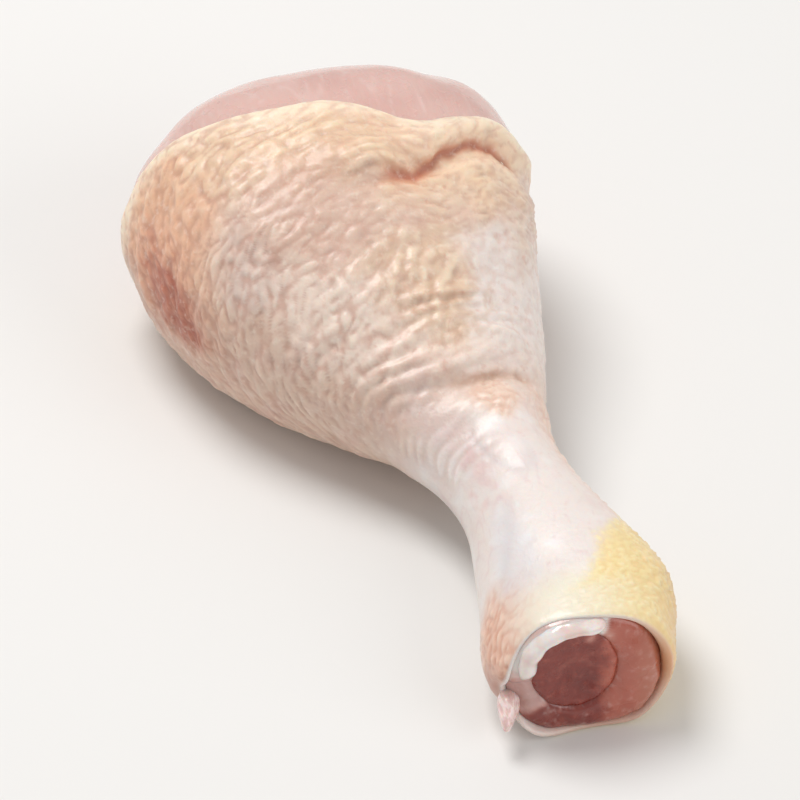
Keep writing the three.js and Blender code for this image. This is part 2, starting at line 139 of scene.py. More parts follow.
def noise(points, seed):
    """Smooth noise from about -1 to 1, with features one unit across, in two or three dimensions."""
    base = np.floor(points).astype(np.int64)
    part = points - base
    fade = part**3 * (part * (part * 6 - 15) + 10)
    total = np.zeros(len(points))
    for step in itertools.product((0, 1), repeat=points.shape[1]):
        weight = np.prod(np.where(step, fade, 1 - fade), axis=1)
        slope = hashed_spots(base + step, seed) * 2 - 1
        total += weight * np.sum(slope * (part - step), axis=1)
    return np.clip(total * NOISE_GAIN, -1, 1)


def cells(points, seed):
    """How far each point is from the nearest and the second nearest of one random spot per unit cell."""
    base = np.floor(points).astype(np.int64)
    nearest = np.full(len(points), np.inf)
    second = np.full(len(points), np.inf)
    for step in itertools.product((-1, 0, 1), repeat=points.shape[1]):
        corner = base + step
        away = np.linalg.norm(points - (corner + hashed_spots(corner, seed)), axis=1)
        second = np.minimum(second, np.maximum(nearest, away))
        nearest = np.minimum(nearest, away)
    return nearest, second


# ---------------------------------------------------------------- the leg's own coordinates

def node_points(name):
    """The vertices of a CAD node, in millimetres."""
    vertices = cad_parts[name].data.vertices
    points = np.empty(len(vertices) * 3)
    vertices.foreach_get("co", points)
    return points.reshape(-1, 3) / MM


class Leg:
    """Reads the leg's cross-sections, and the bone's cut end at the hock, from the CAD solids."""

    # In millimetres: from one cross-section to the next, how far each reaches, and how much of the hock's
    # end has none.
    STATION = 3.0
    SLICE = 0.8 * STATION
    HOCK_MARGIN = 4

    # Keeps a length from being zero.
    TINY = 1e-9

    def __init__(self):
        outline = np.vstack([node_points("skin"), node_points("meat")])
        self.knee = CAD_BOX[0][0] / MM
        self.length = outline[:, 0].max() - self.knee
        self.stations = np.arange(self.STATION, self.length - self.HOCK_MARGIN, self.STATION)
        rows = []
        for station in self.stations:
            near = outline[np.abs(outline[:, 0] - self.knee - station) < self.SLICE]
            low, high = near.min(axis=0), near.max(axis=0)
            rows.append([*(low + high)[1:] / 2, *(high - low)[1:] / 2])
        self.sections = np.array(rows)
        bone = node_points("tibia")
        end = bone[bone[:, 0] > bone[:, 0].max() - self.STATION]
        self.bone_middle = (end.min(axis=0) + end.max(axis=0))[1:] / 2
        self.bone_half = (end.max(axis=0) - end.min(axis=0))[1:] / 2

    def section(self, along):
        """The middle of the leg, y and z, and its half width and half height at each point."""
        return [np.interp(along, self.stations, column) for column in self.sections.T]

    def coordinates(self, points):
        """How far along the leg each point is, and its angle round it."""
        along = points[:, 0] - self.knee
        y, z, half_width, half_height = self.section(along)
        angle = np.degrees(np.arctan2((points[:, 2] - z) / half_height, (points[:, 1] - y) / half_width))
        return along, angle % 360

    def around(self, along, angle):
        """How many millimetres round the leg each point is from its top, positive towards the calf."""
        _, _, half_width, half_height = self.section(along)
        return np.radians(turned(angle, 90)) * (half_width + half_height) / 2

    def from_bone(self, points):
        """How many millimetres outside the bone's cut end each point of the hock is, seen along the leg."""
        across = (points[:, 1:] - self.bone_middle) / self.bone_half
        return (np.hypot(across[:, 0], across[:, 1]) - 1) * self.bone_half.mean()

    def outwardness(self, points, normals):
        """1 where a surface faces away from the middle of the leg and -1 where it faces the middle."""
        y, z, _, _ = self.section(points[:, 0] - self.knee)
        away = np.stack([np.zeros(len(y)), points[:, 1] - y, points[:, 2] - z], axis=1)
        away /= np.linalg.norm(away, axis=1, keepdims=True) + self.TINY
        return np.sum(away * normals, axis=1)


leg = Leg()


# ---------------------------------------------------------------- meshes

SUBDIVISIONS = 2
MERGE_DISTANCE = 0.002

# A vertex shows when it faces outwards by more than this and lies more than so many millimetres up.
SHOWN_OUTWARDNESS = 0.1
SHOWN_HEIGHT = 2


def refined(node, name, longest):
    """A copy of a CAD node, smoothed by subdivision, as a new object. On its upper outside, where fine
    relief goes, edges longer than the given number of millimetres are split once more."""
    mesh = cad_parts[node].data.copy()
    bm = bmesh.new()
    bm.from_mesh(mesh)
    bmesh.ops.remove_doubles(bm, verts=bm.verts, dist=MERGE_DISTANCE * MM)
    bmesh.ops.join_triangles(
        bm, faces=bm.faces, angle_face_threshold=math.pi, angle_shape_threshold=math.pi
    )
    bm.to_mesh(mesh)
    bm.free()
    piece = bpy.data.objects.new(name, mesh)
    bpy.context.scene.collection.objects.link(piece)
    modifier = piece.modifiers.new("smooth", "SUBSURF")
    modifier.levels = SUBDIVISIONS
    evaluated = piece.evaluated_get(bpy.context.evaluated_depsgraph_get())
    piece.data = bpy.data.meshes.new_from_object(evaluated)
    piece.modifiers.clear()
    piece.data.name = name
    piece.data.materials.clear()
    custom_normals = piece.data.attributes.get("custom_normal")
    if custom_normals:
        piece.data.attributes.remove(custom_normals)
    split_long_edges(piece.data, longest)
    piece.data.shade_smooth()
    return piece


def split_long_edges(mesh, longest):
    points, normals = read_points(mesh)
    outside = leg.outwardness(points, normals) > SHOWN_OUTWARDNESS
    shown = outside & (points[:, 2] > SHOWN_HEIGHT)
    bm = bmesh.new()
    bm.from_mesh(mesh)
    bm.verts.ensure_lookup_table()
    long_edges = [
        edge for edge in bm.edges
        if edge.calc_length() > longest * MM and all(shown[vertex.index] for vertex in edge.verts)
    ]
    bmesh.ops.subdivide_edges(bm, edges=long_edges, cuts=1, use_grid_fill=True)
    bm.to_mesh(mesh)
    bm.free()


def read_points(mesh):
    """The vertices of a mesh and their normals, in millimetres."""
    points = np.empty(len(mesh.vertices) * 3)
    normals = np.empty(len(mesh.vertices) * 3)
    mesh.vertices.foreach_get("co", points)
    mesh.vertex_normals.foreach_get("vector", normals)
    return points.reshape(-1, 3) / MM, normals.reshape(-1, 3)


def write_points(mesh, points):
    mesh.vertices.foreach_set("co", (points * MM).ravel())
    mesh.update()


def store(mesh, name, values):
    """Keeps one number per vertex on the mesh for its material to read."""
    attribute = mesh.attributes.new(name, "FLOAT", "POINT")
    attribute.data.foreach_set("value", np.asarray(values, dtype=np.float32))


def store_tint(mesh, colours):
    """Keeps a colour per vertex, given in the usual numbers up to 255, for the material to read."""
    attribute = mesh.attributes.new("tint", "FLOAT_COLOR", "POINT")
    opaque = np.ones((len(colours), 1))
    attribute.data.foreach_set("color", np.hstack([linear(colours), opaque]).astype(np.float32).ravel())


def painted(base, layers):
    """Colours made of layers of paint over a base: each layer is how much it covers and its colour."""
    colours = np.array(base, dtype=float) * np.ones((len(layers[0][0]), 1))
    for cover, colour in layers:
        colours += (np.array(colour) - colours) * np.clip(cover, 0, 1)[:, None]
    return colours


def dress(piece, node, material):
    """Gives a piece its material, its body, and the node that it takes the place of."""
    piece.data.materials.append(material)
    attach(piece, "root")
    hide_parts(node)


# ---------------------------------------------------------------- how the pieces meet

# The solids keep fine gaps between them. The pieces swell by these millimetres where a gap would show.
HOCK_JOIN = 0.9  # the meat and the bone, at the hock
FACE_FILL = 0.7  # the hock's cut face, round the bone's end
INNER_FILL = 0.5  # the inside of the skin, at the hock
KNEE_JOIN = 0.5  # the bone, at the knee
EDGE_FILL = 1.1  # the meat, along the skin's edge

# Where the hock's swelling and its cut face begin and are complete, in millimetres before the leg's end.
HOCK_BEGINS = (12, 8)
CUT_FACE_BEGINS = (8, 6)


def near_end(along, begins):
    """0 along the leg and 1 at its hock end."""
    start, complete = begins
    return smooth(along, leg.length - start, leg.length - complete)


def at_hock(along):
    """1 at the hock, where the pieces swell into each other, and 0 before it."""
    return near_end(along, HOCK_BEGINS)


# ---------------------------------------------------------------- skin: where it is what

# The line of the deep crease: its station at each angle.
CREASE_ANGLES = [26, 34, 44, 53, 60, 68, 72, 76, 82, 90]
CREASE_STATIONS = [33.6, 32.9, 32.3, 33.7, 36.0, 38.3, 39.7, 38.8, 39.2, 40.4]

# How many degrees to each side the grey skin at the shin and the yellow skin of the hock reach, by station.
SHIN_STATIONS = [40, 46, 50, 57, 63, 68]
SHIN_BORDER = [16, 36, 52, 53, 62, 78]
YELLOW_STATIONS = [98, 101, 108, 114, 118, 121]
YELLOW_BORDER = [44, 56, 79, 92, 101, 115]

# Between which stations one kind of skin turns into the next.
BELLY_ENDS = (62, 80)
SHANK_STARTS = (68, 82)
GREY_SKIN_STARTS = (34, 54)
YELLOW_STARTS = (95, 106)
RING_STARTS = (108, 116)
CREAM_TOP_STARTS = (113, 119)
CREAM_RIM_STARTS = (117, 121)
BROWN_RIM_STARTS = (119, 123)

# The small crease over the neck, and a station between the skin's two open ends.
NECK_STATION = 70.6
MIDWAY = 60


class Spot(NamedTuple):
    """An oval on the skin: its middle and its half sizes, in millimetres along the leg and degrees round
    it, and how ragged its edge is."""
    along: float
    angle: float
    length: float
    width: float
    ragged: float = 2.0


PALE_FLANK = Spot(along=45, angle=140, length=9, width=18)
ORANGE_SHOULDER = Spot(along=29, angle=164, length=18, width=30, ragged=3)
FLUSH = Spot(along=38, angle=184, length=11, width=19, ragged=3)
BLOOD = Spot(along=38, angle=185, length=8, width=14, ragged=3)
ROSY_TOP = Spot(along=43, angle=112, length=10, width=26)
PALE_BELLY_END = Spot(along=60, angle=124, length=10, width=30)
PALE_GATHERS = Spot(along=66, angle=92, length=6, width=26)
TAN_PATCH = Spot(along=58, angle=80, length=9.5, width=26)
NECK_SPOT = Spot(along=75.2, angle=76, length=3.6, width=18)
GREY_NECK = Spot(along=80, angle=128, length=10, width=26)
SHANK_SWELLING = Spot(along=84.6, angle=97, length=6.6, width=19, ragged=0.1)
PINK_MOTTLING = Spot(along=88, angle=138, length=11, width=24)
BLUISH_SHANK = Spot(along=107, angle=134, length=12, width=20)


class Zone(NamedTuple):
    """A stretch of the skin: where it starts and ends, in millimetres along the leg or from the skin's
    edge, and in degrees round the leg, and over how much more it fades."""
    stations: tuple
    fade: float
    angles: tuple
    side_fade: float


ROLL = Zone(stations=(2, 9), fade=3, angles=(30, 72), side_fade=12)
UPPER_FOLDS = Zone(stations=(6, 16), fade=5, angles=(75, 150), side_fade=20)
GATHERS = Zone(stations=(61, 69), fade=5, angles=(60, 150), side_fade=25)
NECK_SIDE = Zone(stations=(70, 82), fade=7, angles=(112, 175), side_fade=16)


class SkinEdge:
    """How far along the leg the skin starts, by the angle round it in steps of a few degrees."""

    STEP = 3

    def __init__(self, points):
        along, angle = leg.coordinates(points)
        self.starts = np.full(360 // self.STEP, leg.length)
        np.minimum.at(self.starts, (angle / self.STEP).astype(int), along)

    def at(self, angle):
        middles = (np.arange(len(self.starts)) + 0.5) * self.STEP
        return np.interp(angle, middles, self.starts, period=360)


class Skin:
    """The skin's points in leg coordinates, and masks from 0 to 1 for its regions."""

    # Over these millimetres from the skin's edge its folds stop following the edge.
    EDGE_REACH = (6, 22)

    def __init__(self, points, normals):
        self.points = points
        self.along, self.angle = leg.coordinates(points)
        self.edge = SkinEdge(points)
        self.from_edge = self.along - self.edge.at(self.angle)
        follow_edge = 1 - smooth(self.from_edge, *self.EDGE_REACH)
        self.down = self.along + (self.from_edge + self.EDGE_REACH[1] - self.along) * follow_edge
        self.around = leg.around(self.along, self.angle)
        self.drift = noise(points / 7, seed=11) + 0.5 * noise(points / 3, seed=12)
        self.patches = noise(points / 5.5, seed=62)
        self.fine_patches = noise(points / 2.2, seed=61)
        self.outside = smooth(leg.outwardness(points, normals), 0.0, 0.5)
        self.clear_of_table = smooth(points[:, 2], 1.0, 7.0)

    def at_angle(self, angle, width):
        return bump(turned(self.angle, angle), width)

    def spot(self, spot):
        beside = turned(self.angle, spot.angle) / spot.width
        behind = (self.along - spot.along + spot.ragged * self.drift) / spot.length
        return 1 - smooth(np.hypot(behind, beside + 0.12 * spot.ragged * self.drift), 0.5, 1.3)

    def zone(self, distance, zone):
        """A soft-edged zone. The distance is along the leg or from the skin's edge."""
        across = within(self.angle, *zone.angles, zone.side_fade)
        return within(distance, *zone.stations, zone.fade) * across

    def belly(self):
        return 1 - smooth(self.along + 2 * self.drift, *BELLY_ENDS)

    def shank(self):
        return smooth(self.along + 2 * self.drift, *SHANK_STARTS)

    def rim(self):
        """The thick pale rim at the skin's edge."""
        return 1 - smooth(self.from_edge + 1.4 * self.drift, 1.5, 6.0)

    def roll(self):
        """The roll of slack skin in front of the crease."""
        return self.zone(self.from_edge, ROLL)

    def creamy(self):
        """The fatty yellowish-white of the skin's upper end."""
        spread = 1 - smooth(self.from_edge + 4 * self.drift, 10, 24)
        return spread * smooth(turned(self.angle, 5), 0, 45) * (1 - smooth(self.angle, 160, 200))

    def over_shin(self):
        """The smooth greyish-white skin beside the shin, from the crease to the neck."""
        border = np.interp(self.along, SHIN_STATIONS, SHIN_BORDER)
        inside = smooth(border - np.abs(turned(self.angle, 10)) + 5 * self.drift, -7, 7)
        return inside * smooth(self.along + 5 * self.drift, *GREY_SKIN_STARTS) * self.belly()

    def tan_patch(self):
        """A patch of thicker tan skin, finely crinkled."""
        return self.spot(TAN_PATCH)

    def flush(self):
        """Where blood under the skin reddens it, low down on the calf side."""
        behind = (self.along - FLUSH.along + FLUSH.ragged * self.drift) / FLUSH.length
        beside = turned(self.angle, FLUSH.angle) / FLUSH.width + 0.35 * self.drift
        return bump(np.hypot(behind, beside), 0.9)

    def upper_folds(self):
        """The finely folded skin a little way from its edge, over the top."""
        return self.zone(self.from_edge, UPPER_FOLDS)

    def gathers(self):
        """Where the belly's skin is gathered above the neck."""
        return self.zone(self.along, GATHERS)

    def flank(self):
        """The calf side of the belly, whose skin is the coarsest."""
        return self.belly() * within(self.angle, 130, 200, 30)

    def neck_side(self):
        """Where the skin of the belly is pleated into the neck, on the calf side."""
        return self.zone(self.along, NECK_SIDE)

    def shin_edge(self):
        """The bumpy skin of the shank along the shin."""
        return within(self.along, 74, 118, 5) * self.at_angle(24, 28)

    def yellow(self):
        """The yellow scaly skin that is left of the foot, on the shin side of the hock."""
        border = np.interp(self.along, YELLOW_STATIONS, YELLOW_BORDER)
        inside = border - np.abs(turned(self.angle, -2)) + 7 * self.drift
        return smooth(self.along + 4 * self.drift, *YELLOW_STARTS) * smooth(inside, -8, 22)

    def ring(self):
        """The rough pink skin on the calf side of the hock."""
        return smooth(self.along + 2 * self.drift, *RING_STARTS) * self.at_angle(170, 30)

    def crease(self, width):
        """The deep crease behind the roll of slack skin."""
        ragged = 0.6 * noise(np.stack([self.around / 2.6, np.zeros_like(self.around)], axis=1), seed=14)
        line = np.interp(self.angle, CREASE_ANGLES, CREASE_STATIONS) + ragged
        return within(self.angle, 34, 76, 12) * bump(self.along - line, width)

    def neck_line(self):
        """The small brown crease where the belly's skin bunches up over the neck."""
        line = NECK_STATION + 0.8 * np.sin(np.radians(self.angle - 20))
        return within(self.angle, 46, 88, 14) * bump(self.along - line + 0.4 * self.drift, 0.8)

    def neck_spot(self):
        """A lumpy orange-pink spot at the top of the neck."""
        return self.spot(NECK_SPOT)

    def vein(self):
        """A bluish vein that shows through on the shank."""
        line = 133 + 1.7 * (self.along - 103) + 4 * self.drift
        return within(self.along, 98, 112, 5) * bump(self.angle - line, 6)

    def swelling_outline(self):
        """The lower edge of the oval swelling on the shank: a shallow groove, and a line of painted shadow.
        """
        oval = SHANK_SWELLING
        out = np.hypot((self.along - oval.along) / oval.length, turned(self.angle, oval.angle) / oval.width)
        lower_half = smooth(self.along + self.angle * 0.2, 99, 107)
        return bump(out - 1 - oval.ragged * self.drift, 0.24) * lower_half


# ---------------------------------------------------------------- skin: its relief

def on_sheet(skin, width, length, tilt):
    """Each point's place on the spread-out skin, in steps of `width` down the leg and `length` round it.
    The grid is turned by so many degrees, and follows the edge of the skin near it."""
    turn = math.radians(tilt)
    across = skin.down * math.cos(turn) + skin.around * math.sin(turn)
    lengthwise = skin.around * math.cos(turn) - skin.down * math.sin(turn)
    return np.stack([across / width, lengthwise / length], axis=1)


def wandered(place, size, reach, seed):
    """Places moved a little by noise whose features are so many steps across."""
    wander = np.stack([noise(place / size, seed), noise(place / size, seed + 1)], axis=1)
    return place + reach * wander


def bumps(skin, width, length, tilt, seed):
    """Soft bumps packed side by side: 0 in the seams between them and 1 on their tops."""
    place = wandered(on_sheet(skin, width, length, tilt), 2.5, 0.5, seed)
    nearest, second = cells(place, seed + 2)
    return smooth(second - nearest, 0.0, 0.7)


def folds(skin, spacing, tilt, seed):
    """Long soft folds that wander, and come and go: 0 in the hollows and up to 1 on their crests."""
    place = on_sheet(skin, spacing, spacing, tilt)
    strength = smooth(noise(place / [2.2, 5], seed), -0.5, 0.5)
    phase = place[:, 0] + 0.8 * noise(place / [3, 6], seed + 1)
    return strength * (0.5 + 0.5 * np.sin(TURN * phase))


def billows(skin, width, length, tilt, seed):
    """Soft uneven swellings with fine valleys between them: 0 in the valleys and 1 on the tops."""
    place = wandered(on_sheet(skin, width, length, tilt), 1.7, 0.4, seed)
    return smooth(np.abs(noise(place, seed + 2)), 0.0, 0.55)


def valleys(pattern, height):
    """1 in the hollows of a pattern, and 0 from the given height up."""
    return smooth(height - pattern, 0.0, height)


class Relief:
    """The skin's patterns of bumps and folds, from 0 in the hollows to 1 on the tops. Only the swells go
    from -1 to 1, and the pores are 1 where there is a pore."""

    def __init__(self, skin):
        self.grain = (
            0.3 * bumps(skin, 1.7, 3.1, -20, seed=21)
            + 0.25 * bumps(skin, 2.8, 4.8, -12, seed=24)
            + 0.45 * billows(skin, 1.5, 3.6, -24, seed=58)
        )
        self.crinkles = (
            0.6 * folds(skin, 2.3, -52, seed=27)
            + 0.4 * billows(skin, 1.5, 3.4, -52, seed=29)
        )
        self.knobbles = (
            0.6 * bumps(skin, 1.8, 2.2, -40, seed=31)
            + 0.4 * billows(skin, 2.6, 3.0, 10, seed=34)
        )
        self.scales = (
            0.5 * bumps(skin, 1.1, 1.4, 0, seed=37)
            + 0.5 * billows(skin, 1.5, 1.7, 20, seed=39)
        )
        self.long_folds = folds(skin, 4.4, -16, seed=41)
        self.fine_folds = folds(skin, 2.4, -22, seed=60)
        self.gathers = folds(skin, 2.5, -6, seed=44)
        self.pleats = folds(skin, 2.0, -20, seed=47)
        self.puckers = folds(skin, 3.0, 80, seed=50)
        self.pores = bump(cells(on_sheet(skin, 3.4, 5.2, -10), seed=53)[0], 0.17)
        self.swells = noise(skin.points / 8, seed=56)
        self.knobble_seams = valleys(self.knobbles, 0.5)
        self.knobble_top_highlights = smooth(self.knobbles, 0.5, 1.0)

    def height(self, skin):
        """The height of it all, in millimetres. Each layer is a height, where it lies, and its pattern less
        the share of it that sinks below the skin."""
        belly, calm, patch, flush = skin.belly(), skin.over_shin(), skin.tan_patch(), skin.flush()
        rough = belly * (1 - 0.45 * calm) * (1 - 0.75 * skin.rim()) * (0.85 + 0.35 * self.swells)
        rough *= 1 + 0.3 * skin.flank()
        by_roll = skin.at_angle(66, 26) * within(skin.from_edge, 3, 11, 2)
        layers = (
            (0.42, rough * (1 - 0.7 * patch), self.grain - 0.5),
            (0.55, patch * (1 - calm), self.crinkles - 0.5),
            (0.42, rough, self.long_folds),
            (0.42, skin.upper_folds(), self.fine_folds - 0.3),
            (0.26, belly, self.swells),
            (0.30, flush, self.knobbles - 0.5),
            (-0.16, belly, self.pores),
            (0.30, by_roll, self.puckers - 0.5),
            (0.85, skin.gathers(), self.gathers - 0.3),
            (0.36, skin.neck_side(), self.pleats - 0.5),
            (0.45, skin.neck_spot(), self.knobbles - 0.5),
            (0.28, skin.yellow(), self.scales - 0.5),
            (0.40, skin.shin_edge(), self.knobbles - 0.4),
            (-0.10, skin.swelling_outline(), 1),
            (0.50, skin.ring(), self.knobbles - 0.5),
            (-0.55, skin.crease(0.75), 1),
            (-0.40, skin.neck_line(), 1),
        )
        total = sum(height * where * pattern for height, where, pattern in layers)
        return total * skin.clear_of_table * skin.outside


# ---------------------------------------------------------------- skin: its colours

SKIN_COLOUR = (224, 196, 177)


def skin_colours(skin, relief):
    return painted(SKIN_COLOUR, (
        *belly_paint(skin, relief),
        *fold_light_and_shade_paint(skin, relief),
        *shank_paint(skin, relief),
        *hock_paint(skin, relief),
        *crease_shade_paint(skin),
        *cut_edge_paint(skin),
    ))


def belly_paint(skin, relief):
    """The large soft patches of the belly, the blood under its skin, and its pale edge."""
    flush = skin.flush()
    return (
        (0.60 * smooth(skin.patches, -0.2, 0.6), (220, 188, 174)),
        (0.40 * smooth(skin.fine_patches, 0.0, 0.8), (234, 209, 191)),
        (0.80 * skin.spot(PALE_FLANK), (226, 206, 195)),
        (0.90 * skin.creamy(), (240, 211, 178)),
        (0.70 * skin.tan_patch(), (232, 204, 174)),
        (0.90 * skin.over_shin(), (238, 227, 221)),
        (0.90 * skin.spot(ORANGE_SHOULDER), (242, 194, 160)),
        (0.80 * flush, (212, 146, 118)),
        (0.62 * skin.spot(BLOOD), (176, 92, 70)),
        # Painted highlights on the tops of the flush's bumps.
        (0.50 * flush * relief.knobble_top_highlights, (236, 186, 160)),
        (0.65 * flush * relief.knobble_seams, (166, 84, 64)),
        (0.50 * skin.spot(ROSY_TOP), (214, 180, 162)),
        (0.80 * skin.spot(PALE_BELLY_END), (240, 222, 208)),
        (0.50 * skin.spot(PALE_GATHERS), (244, 224, 208)),
        # Painted light on the roll in front of the crease.
        (0.60 * skin.roll(), (252, 226, 198)),
        (0.90 * skin.rim(), (251, 232, 206)),
    )


def fold_light_and_shade_paint(skin, relief):
    """Painted shade in the hollows of the belly's folds and in its pores, and painted highlights on the
    folds' tops.
    """
    belly, patch, over_shin = skin.belly(), skin.tan_patch(), skin.over_shin()
    seam_shade = valleys(relief.grain, 0.45)
    top_highlights = smooth(relief.grain, 0.55, 1.0)
    pores = relief.pores * (1 - skin.rim()) * (1 - 0.7 * over_shin)
    return (
        (0.27 * belly * seam_shade * (1 - 0.4 * over_shin), (192, 138, 118)),
        (0.18 * skin.flank() * seam_shade, (178, 126, 108)),
        (0.34 * belly * top_highlights * (1 - 0.6 * skin.flush()), (251, 234, 215)),
        (0.25 * skin.upper_folds() * valleys(relief.fine_folds, 0.35), (204, 154, 126)),
        (0.35 * patch * valleys(relief.crinkles, 0.4), (196, 158, 128)),
        (0.50 * patch * smooth(relief.crinkles, 0.4, 0.9), (248, 232, 206)),
        # Painted shade in the pores' dimples.
        (0.28 * belly * pores, (180, 142, 126)),
    )


def shank_paint(skin, relief):
    """The pearly shank with its fine veins, and the pleats, spots and bumps at its sides."""
    shank = skin.shank()
    bare_shin_edge = skin.shin_edge() * (1 - grainy_yellow(skin, relief))
    fine_veins = 1 - smooth(np.abs(noise(skin.points / [6, 2.2, 2.2], seed=64)), 0.0, 0.14)
    pearly = smooth(noise(skin.points / 3.2, seed=65), 0.1, 0.7)
    return (
        (shank, (236, 225, 219)),
        (0.50 * shank * smooth(skin.patches, 0.0, 0.7), (232, 215, 209)),
        (0.50 * skin.spot(GREY_NECK), (226, 206, 200)),
        (0.60 * skin.spot(PINK_MOTTLING) * smooth(skin.fine_patches, -0.4, 0.5), (232, 200, 196)),
        (0.30 * shank * fine_veins * smooth(skin.fine_patches, -0.5, 0.3), (220, 190, 188)),
        (0.40 * shank * pearly, (244, 240, 238)),
        (0.55 * bare_shin_edge, (241, 204, 182)),
        # Painted shade between the bumps along the shin.
        (0.18 * bare_shin_edge * relief.knobble_seams, (212, 150, 130)),
        # Painted shade in the hollows of the pleats.
        (0.35 * skin.neck_side() * valleys(relief.pleats, 0.4), (206, 176, 164)),
        (0.65 * skin.neck_spot(), (242, 210, 188)),
        (0.35 * skin.neck_spot() * relief.knobble_seams, (206, 154, 128)),
        (0.40 * skin.spot(BLUISH_SHANK), (228, 228, 234)),
        # The bluish vein is the skin's own colour; the line under the oval swelling is painted shadow.
        (0.20 * skin.vein() + 0.30 * skin.swelling_outline(), (202, 192, 194)),
    )


def grainy_yellow(skin, relief):
    """The yellow of the hock, which ends scale by scale."""
    return smooth(skin.yellow() * (0.7 + 0.6 * relief.scales), 0.15, 0.8)


def hock_paint(skin, relief):
    """The hock's yellow scales on the shin side, its cream top and its rough pink calf side."""
    yellow, ring = grainy_yellow(skin, relief), skin.ring()
    return (
        (0.80 * smooth(skin.along, *CREAM_TOP_STARTS) * skin.at_angle(95, 45), (242, 231, 206)),
        (yellow, (247, 224, 168)),
        # Painted shade between the yellow scales, and painted highlights on their tops.
        (0.35 * yellow * valleys(relief.scales, 0.5), (232, 192, 124)),
        (0.45 * yellow * smooth(relief.scales, 0.5, 1.0), (252, 241, 206)),
        (0.75 * yellow * skin.at_angle(2, 32), (238, 194, 138)),
        (0.90 * smooth(skin.along, *CREAM_RIM_STARTS) * skin.at_angle(105, 34), (242, 233, 214)),
        (0.90 * ring, (232, 184, 158)),
        # Painted shade between the ring's bumps, and painted highlights on their tops.
        (0.50 * ring * relief.knobble_seams, (204, 136, 110)),
        (0.55 * ring * relief.knobble_top_highlights, (250, 224, 204)),
        (0.70 * smooth(skin.along, *BROWN_RIM_STARTS) * skin.at_angle(196, 20), (196, 148, 134)),
    )


def crease_shade_paint(skin):
    """Painted shade in the creases: reddish in the deep crease, and brown in the small one over the neck."""
    return (
        (0.35 * skin.crease(2.0), (222, 160, 124)),
        (0.85 * skin.crease(0.8), (184, 106, 80)),
        (0.50 * skin.neck_line(), (190, 146, 120)),
    )


def cut_edge_paint(skin):
    """The skin's inside and its cut edges, at the knee end and in the hock."""
    inner = 1 - skin.outside
    in_hock = inner * (skin.along > MIDWAY)
    return (
        (inner * (skin.along < MIDWAY), (246, 226, 204)),
        (in_hock, (242, 232, 227)),
        # The shin side of the hock's inner wall is darker tan: partly the cut edge's own colour, partly
        # painted shade.
        (in_hock * skin.at_angle(5, 55), (214, 158, 116)),
        (in_hock * skin.at_angle(285, 45), (214, 176, 158)),
    )


def make_skin():
    """Makes the skin, and returns where its edge is."""
    piece = refined("skin", "drumstick_skin", longest=0.58)
    points, normals = read_points(piece.data)
    skin = Skin(points, normals)
    relief = Relief(skin)
    height = relief.height(skin) + INNER_FILL * at_hock(skin.along) * (1 - skin.outside)
    moved = points + normals * height[:, None]
    moved[:, 2] = np.maximum(moved[:, 2], 0)
    write_points(piece.data, moved)
    store_tint(piece.data, skin_colours(skin, relief))
    store(piece.data, "shank", skin.shank())
    dress(piece, "skin", skin_material())
    return skin.edge


# ---------------------------------------------------------------- material building blocks

